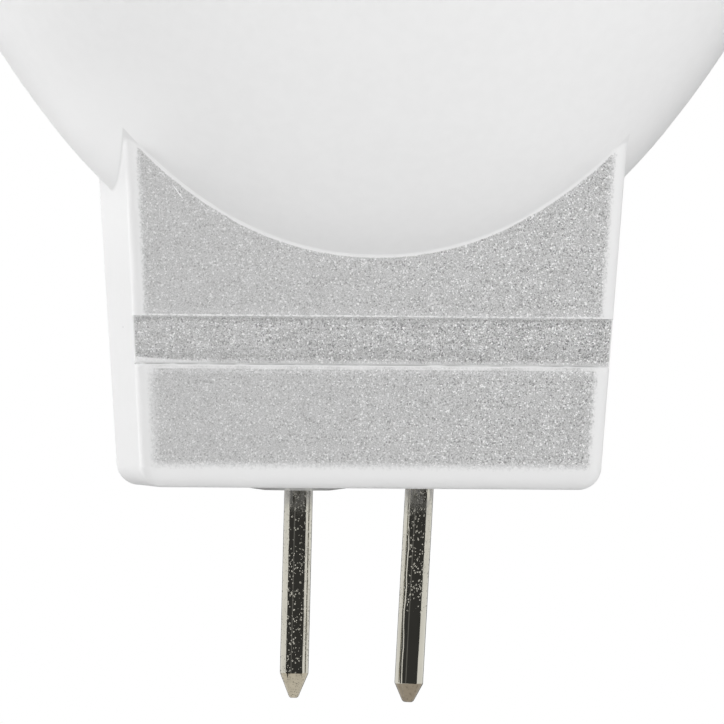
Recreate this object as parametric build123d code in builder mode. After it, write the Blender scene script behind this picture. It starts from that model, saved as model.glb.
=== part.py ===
"""Reflector spotlight bulb of the 35 mm size, with a two-pin base, as a bench assembly.

The frame: origin at the centre of the neck's bottom face, between the two pins.
+Z runs along the bulb's axis towards the lens, X runs through both pins, and
the pins point down. All lengths are in millimetres, all angles in degrees.
"""

import math
import os

from build123d import *

os.makedirs("parts", exist_ok=True)


# Driving dimensions: pins
PIN_PITCH = 4.0
PIN_DIAMETER = 0.95
PIN_TAIL_SIDE = 0.6
PIN_SHOULDER_GAP = 0.15
PIN_INNER_LENGTH = 5.2
LEFT_PIN_LENGTH = 7.03
LEFT_PIN_CONE = 0.83
LEFT_PIN_TIP_DIAMETER = 0.28
RIGHT_PIN_LENGTH = 7.16
RIGHT_PIN_CONE = 0.63
RIGHT_PIN_TIP_DIAMETER = 0.34
PIN_COLLAR_DIAMETER = 1.6
PIN_COLLAR_HEIGHT = 0.5
PIN_HOLE_CLEARANCE = 0.03
BEAD_DIAMETER = 3.8
BEAD_EDGE_WIDTH = 0.8
BEAD_HEIGHT = 0.11

# Driving dimensions: neck
NECK_WIDTH = 15.26
NECK_DEPTH = 9.4
NECK_WIDTH_DRAFT = 3.6
NECK_DEPTH_DRAFT = 4.1
NECK_SIDE_FILLET = 0.5
NECK_BOTTOM_FILLET = 0.75
NECK_FLOOR = 1.8
NECK_WALL = 1.3
GROOVE_BOTTOM = 4.12
GROOVE_HEIGHT = 1.54
GROOVE_DEPTH = 0.4
GROOVE_LIP_FILLET = 0.13
JUNCTION_FILLET = 0.15

# Driving dimensions: bowl and rim
BOWL_POLE = 6.43
BOWL_POLE_RADIUS = 11.6
BOWL_POLE_ARC = 39.3
BOWL_SHOULDER_RADIUS = 19.0
BOWL_SHOULDER_ARC = 12.0
BOWL_WALL = 1.2
RIM_DIAMETER = 35.0
RIM_OVERHANG = 1.0
RIM_BOTTOM = 24.6
RIM_HEIGHT = 2.4
RIM_FILLET = 0.3

# Driving dimensions: bosses, heat spreader and light board
BOSS_COUNT = 3
BOSS_CIRCLE_RADIUS = 8.2
BOSS_DIAMETER = 3.2
BOSS_TOP = 14.8
BOSS_START_ANGLE = 30.0
SPREADER_DIAMETER = 20.8
SPREADER_THICKNESS = 1.2
PAD_DIAMETER = 19.6
PAD_THICKNESS = 0.3
LIGHT_BOARD_DIAMETER = 20.8
LIGHT_BOARD_THICKNESS = 1.0
SCREW_DIAMETER = 1.4
SCREW_HEAD_DIAMETER = 2.6
SCREW_HEAD_HEIGHT = 0.8
SCREW_LENGTH = 5.0
SCREW_SLOT = 0.35
SCREW_HOLE_CLEARANCE = 0.1

# Driving dimensions: emitters
EMITTER_COUNT = 3
EMITTER_CIRCLE_RADIUS = 7.2
EMITTER_START_ANGLE = 90.0
EMITTER_SIDE = 3.4
EMITTER_BASE_HEIGHT = 0.7
EMITTER_DOME_RADIUS = 1.3

# Driving dimensions: lens and retaining ring
LENS_FLANGE_THICKNESS = 1.2
LENS_CONE_TOP_RADIUS = 6.1
LENS_CONE_BOTTOM_RADIUS = 2.6
LENS_CONE_BULGE = 0.9
LENS_STAND_OFF = 0.3
LENS_POCKET_RADIUS = 1.9
LENS_POCKET_DEPTH = 2.2
LENS_LEDGE_WIDTH = 1.1
LENS_LEDGE_RISE = 0.4
LENS_CLEARANCE = 0.1
RING_WIDTH = 1.25
RING_CHAMFER = 0.25

# Driving dimensions: driver board and its components
DRIVER_THICKNESS = 0.8
DRIVER_TOP = 13.4
DRIVER_SIDE_CLEARANCE = 0.2
DRIVER_FLOOR_CLEARANCE = 0.8
SEAT_GAP = 0.02
SOLDER_RADIUS = 1.1
SOLDER_HEIGHT = 2.0
CAPACITOR_DIAMETER = 4.0
CAPACITOR_LENGTH = 5.6
CAPACITOR_CENTRE_X = -2.4
CAPACITOR_CENTRE_Z = 11.4
CAPACITOR_LEAD_DIAMETER = 0.45
CAPACITOR_LEAD_PITCH = 1.5
CAPACITOR_LEAD_REACH = 0.5
CAPACITOR_BEAD_DEPTH = 0.15
INDUCTOR_DIAMETER = 4.2
INDUCTOR_HEIGHT = 2.7
INDUCTOR_CENTRE_X = 3.6
INDUCTOR_CENTRE_Z = 10.8
INDUCTOR_HUB_DIAMETER = 2.0
INDUCTOR_FLANGE = 0.5
WINDING_DIAMETER = 3.7
CHIP_WIDTH = 2.9
CHIP_DEPTH = 1.1
CHIP_HEIGHT = 1.6
CHIP_Z = 7.2
CHIP_LEAD_WIDTH = 0.4
CHIP_LEAD_LENGTH = 0.6
CHIP_LEAD_PITCH = 0.95
RECTIFIER_WIDTH = 4.7
RECTIFIER_DEPTH = 1.4
RECTIFIER_HEIGHT = 4.0
RECTIFIER_Z = 6.0
RECTIFIER_LEAD_WIDTH = 0.7
RECTIFIER_LEAD_LENGTH = 0.9
RECTIFIER_LEAD_PITCH = 2.5
LEAD_THICKNESS = 0.2
RESISTOR_WIDTH = 2.0
RESISTOR_DEPTH = 0.5
RESISTOR_HEIGHT = 1.25
RESISTOR_X = 4.4
RESISTOR_ROWS = (4.2, 6.4)
CERAMIC_WIDTH = 1.6
CERAMIC_DEPTH = 1.2
CERAMIC_HEIGHT = 3.2
CERAMIC_X = 4.6
CERAMIC_Z = 7.0
DIODE_WIDTH = 2.7
DIODE_DEPTH = 1.15
DIODE_HEIGHT = 1.6
DIODE_Z = 10.4
LINK_DIAMETER = 0.6
LINK_X = 4.6
LINK_BOTTOM = 10.6
LINK_END = 0.3
LINK_SOLDER_DIAMETER = 1.5
SLEEVE_WALL = 0.3
SLEEVE_HOLE_CLEARANCE = 0.1
BOARD_HOLE_CLEARANCE = 0.1


# Places that follow from the driving dimensions
PIN_RADIUS = PIN_DIAMETER / 2
RIM_TOP = RIM_BOTTOM + RIM_HEIGHT
RIM_RADIUS = RIM_DIAMETER / 2
BOWL_MOUTH_RADIUS = RIM_RADIUS - RIM_OVERHANG
SPREADER_TOP = BOSS_TOP + SPREADER_THICKNESS
PAD_TOP = SPREADER_TOP + PAD_THICKNESS
LIGHT_BOARD_TOP = PAD_TOP + LIGHT_BOARD_THICKNESS
EMITTER_TOP = LIGHT_BOARD_TOP + EMITTER_BASE_HEIGHT
MOUTH_INNER_RADIUS = BOWL_MOUTH_RADIUS - BOWL_WALL
SEAT_RADIUS = MOUTH_INNER_RADIUS + LENS_LEDGE_WIDTH
LEDGE_Z = RIM_BOTTOM + LENS_LEDGE_RISE
LENS_RADIUS = SEAT_RADIUS - LENS_CLEARANCE
LENS_TOP = LEDGE_Z + LENS_FLANGE_THICKNESS
LENS_BOTTOM = EMITTER_TOP + LENS_STAND_OFF
BOARD_FRONT_Y = PIN_TAIL_SIDE / 2 + SEAT_GAP
BOARD_BACK_Y = BOARD_FRONT_Y + DRIVER_THICKNESS
CAVITY_WIDTH = NECK_WIDTH - 2 * NECK_WALL
CAVITY_DEPTH = NECK_DEPTH - 2 * NECK_WALL
DRIVER_BOTTOM = NECK_FLOOR + DRIVER_FLOOR_CLEARANCE
DRIVER_WIDTH = CAVITY_WIDTH - 2 * DRIVER_SIDE_CLEARANCE
NECK_TOP = BOSS_TOP
WIDTH_SLOPE = math.tan(math.radians(NECK_WIDTH_DRAFT))
DEPTH_SLOPE = math.tan(math.radians(NECK_DEPTH_DRAFT))
LINK_Y = BOARD_BACK_Y + LINK_DIAMETER / 2 + SEAT_GAP
SLEEVE_DIAMETER = LINK_DIAMETER + 2 * SLEEVE_WALL


def save(part, name):
    """Label one finished piece and write its STEP file."""
    part.label = name
    export_step(part, f"parts/{name}.step")


def ring_places(count, radius, start_angle):
    """Points spaced evenly on a circle about the bulb's axis."""
    step = 360 / count
    angles = [math.radians(start_angle + step * index) for index in range(count)]
    return [(radius * math.cos(angle), radius * math.sin(angle)) for angle in angles]


SCREW_PLACES = ring_places(BOSS_COUNT, BOSS_CIRCLE_RADIUS, BOSS_START_ANGLE)
EMITTER_PLACES = ring_places(EMITTER_COUNT, EMITTER_CIRCLE_RADIUS, EMITTER_START_ANGLE)
LINK_PLACES = [(-LINK_X, LINK_Y), (LINK_X, LINK_Y)]
PIN_PLACES = [(-PIN_PITCH / 2, 0), (PIN_PITCH / 2, 0)]


def bowl_curve(wall):
    """Draw the bowl's curve in the XZ plane, a wall's thickness inside its outer face.

    Two arcs rise from the pole and a third, tangent to them, reaches the rim.
    Returns the last arc, from which the rim goes on.
    """
    pole = JernArc((0, BOWL_POLE + wall), (1, 0), BOWL_POLE_RADIUS - wall, BOWL_POLE_ARC)
    shoulder = JernArc(pole @ 1, pole % 1, BOWL_SHOULDER_RADIUS - wall, BOWL_SHOULDER_ARC)
    mouth_z = RIM_BOTTOM if wall == 0 else LEDGE_Z
    return TangentArc(shoulder @ 1, (BOWL_MOUTH_RADIUS - wall, mouth_z), tangent=shoulder % 1)


# Cavity: the space inside the bowl and neck, with the screw bosses left standing
with BuildPart() as cavity:
    with BuildSketch(Plane.XZ) as cavity_section:
        with BuildLine():
            inner_flank = bowl_curve(BOWL_WALL)
            Polyline(
                inner_flank @ 1,
                (SEAT_RADIUS, LEDGE_Z),
                (SEAT_RADIUS, RIM_TOP),
                (0, RIM_TOP),
                (0, BOWL_POLE + BOWL_WALL),
            )
        make_face()
    revolve(axis=Axis.Z)
    with BuildSketch(Plane.XY.offset(NECK_FLOOR)) as neck_pocket:
        RectangleRounded(CAVITY_WIDTH, CAVITY_DEPTH, NECK_SIDE_FILLET)
    extrude(amount=NECK_TOP - NECK_FLOOR)
    with BuildSketch(Plane.XY.offset(BOSS_TOP)) as boss_section:
        with Locations(SCREW_PLACES):
            Circle(BOSS_DIAMETER / 2)
    extrude(amount=-BOSS_TOP, mode=Mode.SUBTRACT)
    with BuildSketch(Plane.XY.offset(BOSS_TOP)) as boss_pilot:
        with Locations(SCREW_PLACES):
            Circle(SCREW_DIAMETER / 2)
    extrude(amount=LIGHT_BOARD_TOP - BOSS_TOP - SCREW_LENGTH)


# Neck: a flat box that widens towards the bowl, with all its edges rounded
with BuildPart() as neck:
    with BuildSketch(Plane.XY) as neck_bottom:
        Rectangle(NECK_WIDTH, NECK_DEPTH)
    with BuildSketch(Plane.XY.offset(NECK_TOP)) as neck_upper:
        Rectangle(NECK_WIDTH + 2 * NECK_TOP * WIDTH_SLOPE, NECK_DEPTH + 2 * NECK_TOP * DEPTH_SLOPE)
    loft()
    fillet(neck.faces().sort_by(Axis.Z)[0].edges(), NECK_BOTTOM_FILLET)
    corners = neck.edges().filter_by(lambda edge: abs((edge @ 1 - edge @ 0).Z) > NECK_TOP / 2)
    fillet(corners, NECK_SIDE_FILLET)


def face_y(z):
    """Distance from the bulb's axis to the neck's broad face at a height."""
    return NECK_DEPTH / 2 + z * DEPTH_SLOPE


# Housing: bowl, rim and neck, moulded as one piece
with BuildPart() as housing:
    with BuildSketch(Plane.XZ) as bowl_section:
        with BuildLine():
            outer_flank = bowl_curve(0)
            Polyline(
                outer_flank @ 1,
                (RIM_RADIUS, RIM_BOTTOM),
                (RIM_RADIUS, RIM_TOP),
                (0, RIM_TOP),
                (0, BOWL_POLE),
            )
        make_face()
        fillet(bowl_section.vertices().group_by(Axis.X)[-1], RIM_FILLET)
    revolve(axis=Axis.Z)

    add(neck.part)
    junction = housing.edges().filter_by(GeomType.BSPLINE).filter_by_position(Axis.Z, BOWL_POLE, NECK_TOP)
    fillet(junction, JUNCTION_FILLET)

    groove_top = GROOVE_BOTTOM + GROOVE_HEIGHT
    with BuildSketch(Plane.YZ) as groove_section:
        with BuildLine():
            Polyline(
                (face_y(GROOVE_BOTTOM) - GROOVE_DEPTH, GROOVE_BOTTOM),
                (face_y(GROOVE_BOTTOM) + GROOVE_DEPTH, GROOVE_BOTTOM),
                (face_y(groove_top) + GROOVE_DEPTH, groove_top),
                (face_y(groove_top) - GROOVE_DEPTH, groove_top),
                close=True,
            )
        make_face()
        mirror(about=Plane.YZ)
    extrude(amount=NECK_WIDTH, both=True, mode=Mode.SUBTRACT)
    ledges = housing.faces().filter_by(Axis.Z).filter_by(
        lambda face: abs(face.center().Z - GROOVE_BOTTOM) < GROOVE_DEPTH / 2
    )
    lip_y = face_y(GROOVE_BOTTOM) - GROOVE_DEPTH / 2
    lips = ledges.edges().filter_by(lambda edge: abs(edge.center().Y) > lip_y)
    fillet(lips, GROOVE_LIP_FILLET)

    add(cavity.part, mode=Mode.SUBTRACT)
    with BuildSketch(Plane.XY) as pin_holes:
        with Locations(PIN_PLACES):
            Rectangle(PIN_TAIL_SIDE + 2 * PIN_HOLE_CLEARANCE, PIN_TAIL_SIDE + 2 * PIN_HOLE_CLEARANCE)
    extrude(amount=NECK_FLOOR, mode=Mode.SUBTRACT)
save(housing.part, "housing")


def make_pin(x, length, cone, tip_diameter):
    """Make one contact pin: turned tip and shaft, then a square tail with a round collar."""
    with BuildPart() as pin:
        with BuildSketch(Plane.XZ) as pin_section:
            with BuildLine():
                Polyline(
                    (0, -length),
                    (tip_diameter / 2, -length),
                    (PIN_RADIUS, -length + cone),
                    (PIN_RADIUS, -PIN_SHOULDER_GAP),
                    (0, -PIN_SHOULDER_GAP),
                    close=True,
                )
            make_face()
        revolve(axis=Axis.Z)
        tip_edge = pin.edges().filter_by(GeomType.CIRCLE).sort_by(Axis.Z)[0]
        fillet(tip_edge, tip_diameter / 4)
        with BuildSketch(Plane.XY.offset(-PIN_SHOULDER_GAP)) as tail_section:
            Rectangle(PIN_TAIL_SIDE, PIN_TAIL_SIDE)
        extrude(amount=PIN_INNER_LENGTH + PIN_SHOULDER_GAP)
        with BuildSketch(Plane.XY.offset(NECK_FLOOR)) as collar_section:
            Circle(PIN_COLLAR_DIAMETER / 2)
        extrude(amount=PIN_COLLAR_HEIGHT)
    return Pos(x, 0, 0) * pin.part


save(make_pin(-PIN_PITCH / 2, LEFT_PIN_LENGTH, LEFT_PIN_CONE, LEFT_PIN_TIP_DIAMETER), "pin_left")
save(make_pin(PIN_PITCH / 2, RIGHT_PIN_LENGTH, RIGHT_PIN_CONE, RIGHT_PIN_TIP_DIAMETER), "pin_right")


# Sealing bead: a low resin ring that ran out round the left pin's tail
with BuildPart() as bead:
    with BuildSketch(Plane.XZ) as bead_section:
        with BuildLine():
            Polyline(
                (0, 0),
                (BEAD_DIAMETER / 2, 0),
                (BEAD_DIAMETER / 2 - BEAD_EDGE_WIDTH, -BEAD_HEIGHT),
                (0, -BEAD_HEIGHT),
                close=True,
            )
        make_face()
    revolve(axis=Axis.Z)
    with BuildSketch(Plane.XY) as bead_hole:
        Rectangle(PIN_TAIL_SIDE, PIN_TAIL_SIDE)
    extrude(amount=-BEAD_HEIGHT, mode=Mode.SUBTRACT)
save(Pos(-PIN_PITCH / 2, 0, 0) * bead.part, "seal_bead")


# Driver board: stands upright in the neck, against the pins
with BuildPart() as driver_board:
    with BuildSketch(Plane.XZ.offset(-BOARD_FRONT_Y)) as driver_outline:
        with Locations((0, DRIVER_BOTTOM)):
            Rectangle(DRIVER_WIDTH, DRIVER_TOP - DRIVER_BOTTOM, align=(Align.CENTER, Align.MIN))
    extrude(amount=-DRIVER_THICKNESS)
save(driver_board.part, "driver_board")


# Pin solder: two joints that hold the pins to the driver board
with BuildPart() as pin_solder:
    with BuildSketch(Plane.XY.offset(DRIVER_BOTTOM)) as solder_section:
        with Locations(*[(x, BOARD_FRONT_Y) for x, _ in PIN_PLACES]):
            Circle(SOLDER_RADIUS)
        with Locations((0, BOARD_FRONT_Y)):
            Rectangle(
                DRIVER_WIDTH, 2 * SOLDER_RADIUS, align=(Align.CENTER, Align.MIN), mode=Mode.SUBTRACT
            )
        with Locations(PIN_PLACES):
            Rectangle(PIN_TAIL_SIDE, PIN_TAIL_SIDE, mode=Mode.SUBTRACT)
    extrude(amount=SOLDER_HEIGHT)
save(pin_solder.part, "pin_solder")


def board_plane(front):
    """Give the driver board's front or back face as a sketching plane, normal outwards."""
    if front:
        return Plane.XZ.offset(-BOARD_FRONT_Y + SEAT_GAP)
    return Plane(origin=(0, BOARD_BACK_Y + SEAT_GAP, 0), x_dir=(-1, 0, 0), z_dir=(0, 1, 0))


def make_block(places, width, height, depth, front, edge_fillet=0.0):
    """Make like rectangular components that stand on the driver board's face."""
    with BuildPart() as block:
        with BuildSketch(board_plane(front)) as block_outline:
            with Locations(*places):
                Rectangle(width, height)
        extrude(amount=depth)
        if edge_fillet:
            fillet(block.edges().filter_by(Axis.Y), edge_fillet)
    return block.part


def make_leaded_block(z, width, height, depth, front, lead):
    """Make a moulded component with two rows of flat leads that rest on the board.

    Args:
        z: height of the component's centre.
        width, height, depth: size of the moulded body.
        front: whether it stands on the board's front face.
        lead: lead count in a row, width, length and pitch.
    """
    count, lead_width, lead_length, pitch = lead
    with BuildPart() as component:
        with BuildSketch(board_plane(front)) as lead_outline:
            with Locations((0, z)):
                with GridLocations(pitch, height + lead_length, count, 2):
                    Rectangle(lead_width, lead_length)
        extrude(amount=LEAD_THICKNESS)
        with BuildSketch(board_plane(front)) as body_outline:
            with Locations((0, z)):
                Rectangle(width, height)
        extrude(amount=depth)
        chamfer(component.faces().sort_by(Axis.Y)[0 if front else -1].edges(), LEAD_THICKNESS)
    return component.part


save(
    make_leaded_block(
        CHIP_Z, CHIP_WIDTH, CHIP_HEIGHT, CHIP_DEPTH, True,
        (3, CHIP_LEAD_WIDTH, CHIP_LEAD_LENGTH, CHIP_LEAD_PITCH),
    ),
    "driver_chip",
)
save(
    make_leaded_block(
        RECTIFIER_Z, RECTIFIER_WIDTH, RECTIFIER_HEIGHT, RECTIFIER_DEPTH, False,
        (2, RECTIFIER_LEAD_WIDTH, RECTIFIER_LEAD_LENGTH, RECTIFIER_LEAD_PITCH),
    ),
    "bridge_rectifier",
)
save(
    make_block(
        [(side * RESISTOR_X, z) for side in (-1, 1) for z in RESISTOR_ROWS],
        RESISTOR_WIDTH, RESISTOR_HEIGHT, RESISTOR_DEPTH, True,
    ),
    "sense_resistors",
)
save(
    make_block(
        [(side * CERAMIC_X, CERAMIC_Z) for side in (-1, 1)],
        CERAMIC_WIDTH, CERAMIC_HEIGHT, CERAMIC_DEPTH, False,
    ),
    "ceramic_capacitors",
)
save(
    make_block([(0, DIODE_Z)], DIODE_WIDTH, DIODE_HEIGHT, DIODE_DEPTH, False),
    "schottky_diode",
)


# Smoothing capacitor: a can that lies along X, with two leads bent to the board
with BuildPart() as capacitor:
    can_y = BOARD_FRONT_Y - SEAT_GAP - CAPACITOR_DIAMETER / 2
    can_start = CAPACITOR_CENTRE_X - CAPACITOR_LENGTH / 2
    can_end = can_start + CAPACITOR_LENGTH
    with BuildSketch(Plane.YZ.offset(can_start)) as can_section:
        with Locations((can_y, CAPACITOR_CENTRE_Z)):
            Circle(CAPACITOR_DIAMETER / 2)
    extrude(amount=CAPACITOR_LENGTH)
    fillet(capacitor.edges().filter_by(GeomType.CIRCLE), CAPACITOR_BEAD_DEPTH)
    for side in (-1, 1):
        lead_z = CAPACITOR_CENTRE_Z + side * CAPACITOR_LEAD_PITCH / 2
        with BuildLine() as lead_path:
            FilletPolyline(
                (can_end - CAPACITOR_BEAD_DEPTH, can_y, lead_z),
                (can_end + CAPACITOR_LEAD_REACH, can_y, lead_z),
                (can_end + CAPACITOR_LEAD_REACH, BOARD_FRONT_Y, lead_z),
                radius=CAPACITOR_LEAD_REACH / 2,
            )
        with BuildSketch(Plane.YZ.offset(can_end - CAPACITOR_BEAD_DEPTH)) as lead_section:
            with Locations((can_y, lead_z)):
                Circle(CAPACITOR_LEAD_DIAMETER / 2)
        sweep(path=lead_path.wire())
save(capacitor.part, "smoothing_capacitor")


# Inductor: a ferrite bobbin that stands on the board, and its copper winding
inductor_plane = Plane.XZ.offset(-BOARD_FRONT_Y + SEAT_GAP)
with BuildPart() as inductor_core:
    with BuildSketch(inductor_plane) as lower_flange:
        with Locations((INDUCTOR_CENTRE_X, INDUCTOR_CENTRE_Z)):
            Circle(INDUCTOR_DIAMETER / 2)
    extrude(amount=INDUCTOR_FLANGE)
    with BuildSketch(inductor_plane) as hub_section:
        with Locations((INDUCTOR_CENTRE_X, INDUCTOR_CENTRE_Z)):
            Circle(INDUCTOR_HUB_DIAMETER / 2)
    extrude(amount=INDUCTOR_HEIGHT)
    with BuildSketch(inductor_plane.offset(INDUCTOR_HEIGHT - INDUCTOR_FLANGE)) as upper_flange:
        with Locations((INDUCTOR_CENTRE_X, INDUCTOR_CENTRE_Z)):
            Circle(INDUCTOR_DIAMETER / 2)
    extrude(amount=INDUCTOR_FLANGE)
save(inductor_core.part, "inductor_core")

with BuildPart() as inductor_winding:
    with BuildSketch(inductor_plane.offset(INDUCTOR_FLANGE)) as winding_section:
        with Locations((INDUCTOR_CENTRE_X, INDUCTOR_CENTRE_Z)):
            Circle(WINDING_DIAMETER / 2)
            Circle(INDUCTOR_HUB_DIAMETER / 2, mode=Mode.SUBTRACT)
    extrude(amount=INDUCTOR_HEIGHT - 2 * INDUCTOR_FLANGE)
save(inductor_winding.part, "inductor_winding")


def make_disc(bottom, diameter, thickness, screw_hole, link_hole):
    """Make a round plate of the light stack, with its screw and link holes."""
    with BuildPart() as disc:
        with BuildSketch(Plane.XY.offset(bottom)) as disc_outline:
            Circle(diameter / 2)
            with Locations(SCREW_PLACES):
                Circle(screw_hole / 2, mode=Mode.SUBTRACT)
            with Locations(LINK_PLACES):
                Circle(link_hole / 2, mode=Mode.SUBTRACT)
        extrude(amount=thickness)
    return disc.part


screw_hole_diameter = SCREW_DIAMETER + 2 * SCREW_HOLE_CLEARANCE
sleeve_hole_diameter = SLEEVE_DIAMETER + 2 * SLEEVE_HOLE_CLEARANCE
link_hole_diameter = LINK_DIAMETER + 2 * BOARD_HOLE_CLEARANCE
save(
    make_disc(BOSS_TOP, SPREADER_DIAMETER, SPREADER_THICKNESS, screw_hole_diameter, sleeve_hole_diameter),
    "heat_spreader",
)
save(
    make_disc(SPREADER_TOP, PAD_DIAMETER, PAD_THICKNESS, screw_hole_diameter, sleeve_hole_diameter),
    "thermal_pad",
)
save(
    make_disc(PAD_TOP, LIGHT_BOARD_DIAMETER, LIGHT_BOARD_THICKNESS, screw_hole_diameter, link_hole_diameter),
    "light_board",
)


def make_rods(places, bottom, top, diameter, bore=0.0):
    """Make upright round rods or tubes at the given places."""
    with BuildPart() as rods:
        with BuildSketch(Plane.XY.offset(bottom)) as rod_section:
            with Locations(places):
                Circle(diameter / 2)
                if bore:
                    Circle(bore / 2, mode=Mode.SUBTRACT)
        extrude(amount=top - bottom)
    return rods.part


for name, place in zip(("link_negative", "link_positive"), LINK_PLACES):
    save(make_rods([place], LINK_BOTTOM, LIGHT_BOARD_TOP + LINK_END, LINK_DIAMETER), name)
save(
    make_rods(LINK_PLACES, DRIVER_TOP, PAD_TOP, SLEEVE_DIAMETER, LINK_DIAMETER),
    "link_sleeves",
)
save(
    make_rods(
        LINK_PLACES, LIGHT_BOARD_TOP, LIGHT_BOARD_TOP + LINK_END, LINK_SOLDER_DIAMETER, LINK_DIAMETER
    ),
    "link_solder",
)


# Screws: pan heads with a straight slot, through the light stack into the bosses
with BuildPart() as screws:
    with BuildSketch(Plane.XY.offset(LIGHT_BOARD_TOP)) as shank_section:
        with Locations(SCREW_PLACES):
            Circle(SCREW_DIAMETER / 2)
    extrude(amount=-SCREW_LENGTH)
    with BuildSketch(Plane.XY.offset(LIGHT_BOARD_TOP)) as head_section:
        with Locations(SCREW_PLACES):
            Circle(SCREW_HEAD_DIAMETER / 2)
    extrude(amount=SCREW_HEAD_HEIGHT)
    with BuildSketch(Plane.XY.offset(LIGHT_BOARD_TOP + SCREW_HEAD_HEIGHT)) as slot_section:
        with Locations(SCREW_PLACES):
            Rectangle(SCREW_HEAD_DIAMETER, SCREW_SLOT)
    extrude(amount=-SCREW_HEAD_HEIGHT / 2, mode=Mode.SUBTRACT)
save(screws.part, "board_screws")


def make_emitter(x, y):
    """Make one light-emitting package: square ceramic base with a clear dome."""
    with BuildPart() as emitter:
        with BuildSketch(Plane.XY.offset(LIGHT_BOARD_TOP)) as emitter_base:
            Rectangle(EMITTER_SIDE, EMITTER_SIDE)
        extrude(amount=EMITTER_BASE_HEIGHT)
        with BuildSketch(Plane.XZ) as dome_section:
            with BuildLine():
                CenterArc((0, EMITTER_TOP), EMITTER_DOME_RADIUS, 0, 90)
                Polyline(
                    (0, EMITTER_TOP + EMITTER_DOME_RADIUS),
                    (0, EMITTER_TOP),
                    (EMITTER_DOME_RADIUS, EMITTER_TOP),
                )
            make_face()
        revolve(axis=Axis.Z)
    return Pos(x, y, 0) * emitter.part


for index, (emitter_x, emitter_y) in enumerate(EMITTER_PLACES, start=1):
    save(make_emitter(emitter_x, emitter_y), f"emitter_{index}")


# Cone: one collimator of the lens, drawn on the bulb's axis
with BuildPart() as cone:
    with BuildSketch(Plane.XZ) as cone_section:
        with BuildLine():
            flank = SagittaArc(
                (LENS_CONE_BOTTOM_RADIUS, LENS_BOTTOM), (LENS_CONE_TOP_RADIUS, LEDGE_Z), LENS_CONE_BULGE
            )
            Polyline(
                flank @ 1,
                (0, LEDGE_Z),
                (0, LENS_BOTTOM + LENS_POCKET_DEPTH),
                (LENS_POCKET_RADIUS, LENS_BOTTOM + LENS_POCKET_DEPTH),
                (LENS_POCKET_RADIUS, LENS_BOTTOM),
                flank @ 0,
            )
        make_face()
    revolve(axis=Axis.Z)


# Front lens: a round flange with one collimator over each emitter, moulded in one
with BuildPart() as front_lens:
    with BuildSketch(Plane.XY.offset(LEDGE_Z)) as lens_outline:
        Circle(LENS_RADIUS)
    extrude(amount=LENS_FLANGE_THICKNESS)
    with Locations(*[(x, y, 0) for x, y in EMITTER_PLACES]):
        add(cone.part)
save(front_lens.part, "front_lens")


# Retaining ring: pressed into the rim over the lens
with BuildPart() as retaining_ring:
    with BuildSketch(Plane.XY.offset(LENS_TOP)) as ring_outline:
        Circle(LENS_RADIUS)
        Circle(LENS_RADIUS - RING_WIDTH, mode=Mode.SUBTRACT)
    extrude(amount=RIM_TOP - LENS_TOP)
    inner_edge = retaining_ring.faces().sort_by(Axis.Z)[-1].edges().sort_by(SortBy.RADIUS)[0]
    chamfer(inner_edge, RING_CHAMFER)
save(retaining_ring.part, "retaining_ring")
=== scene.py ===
"""Looks of a reflector spotlight bulb: painted body, turned pins, clear front, soft studio.

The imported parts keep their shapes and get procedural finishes. The two contact pins are
turned anew, because the real ones lean a little and carry the marks of their making.
All sizes are in millimetres until they are handed to Blender, which works in metres.
"""

import logging
import math
from dataclasses import dataclass
from enum import Enum
from typing import Callable, Sequence

import bpy
from mathutils import Matrix, Vector


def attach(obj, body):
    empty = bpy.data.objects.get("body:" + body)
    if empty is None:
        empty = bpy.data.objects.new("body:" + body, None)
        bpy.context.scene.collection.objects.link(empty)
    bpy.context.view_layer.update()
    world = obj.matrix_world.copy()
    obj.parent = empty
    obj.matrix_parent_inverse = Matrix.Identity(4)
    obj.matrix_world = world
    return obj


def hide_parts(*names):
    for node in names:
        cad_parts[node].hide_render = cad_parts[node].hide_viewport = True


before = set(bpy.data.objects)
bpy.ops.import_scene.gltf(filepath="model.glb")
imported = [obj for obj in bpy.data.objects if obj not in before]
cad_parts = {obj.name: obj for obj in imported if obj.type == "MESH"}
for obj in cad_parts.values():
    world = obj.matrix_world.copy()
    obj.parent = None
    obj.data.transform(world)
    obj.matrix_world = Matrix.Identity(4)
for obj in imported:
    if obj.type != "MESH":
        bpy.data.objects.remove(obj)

MM = 0.001
TOUCH = 1e-6
IMAGE_PIXELS = 724
log = logging.getLogger("spotlight_bulb")

Socket = bpy.types.NodeSocket
Colour = tuple[float, float, float]


class Axis(Enum):
    """The three directions of the bulb's own frame."""

    X = 0
    Y = 1
    Z = 2


class Field:
    """A value that varies over a surface. Sums with it become math nodes."""

    def __init__(self, graph: "Graph", socket: Socket) -> None:
        """Keep the graph and the output socket that gives the value."""
        self.graph, self.socket = graph, socket

    def __add__(self, other: "Value") -> "Field":
        """Add a value."""
        return self.graph.math("ADD", self, other)

    def __sub__(self, other: "Value") -> "Field":
        """Subtract a value."""
        return self.graph.math("SUBTRACT", self, other)

    def __rsub__(self, other: float) -> "Field":
        """Subtract this value from a number."""
        return self.graph.math("SUBTRACT", other, self)

    def __mul__(self, other: "Value") -> "Field":
        """Multiply by a value."""
        return self.graph.math("MULTIPLY", self, other)

    def __pow__(self, power: float) -> "Field":
        """Raise to a power."""
        return self.graph.math("POWER", self, power)

    def __abs__(self) -> "Field":
        """Drop the sign."""
        return self.graph.math("ABSOLUTE", self)


Value = Field | Socket | float
Paint = Field | Colour


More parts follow.
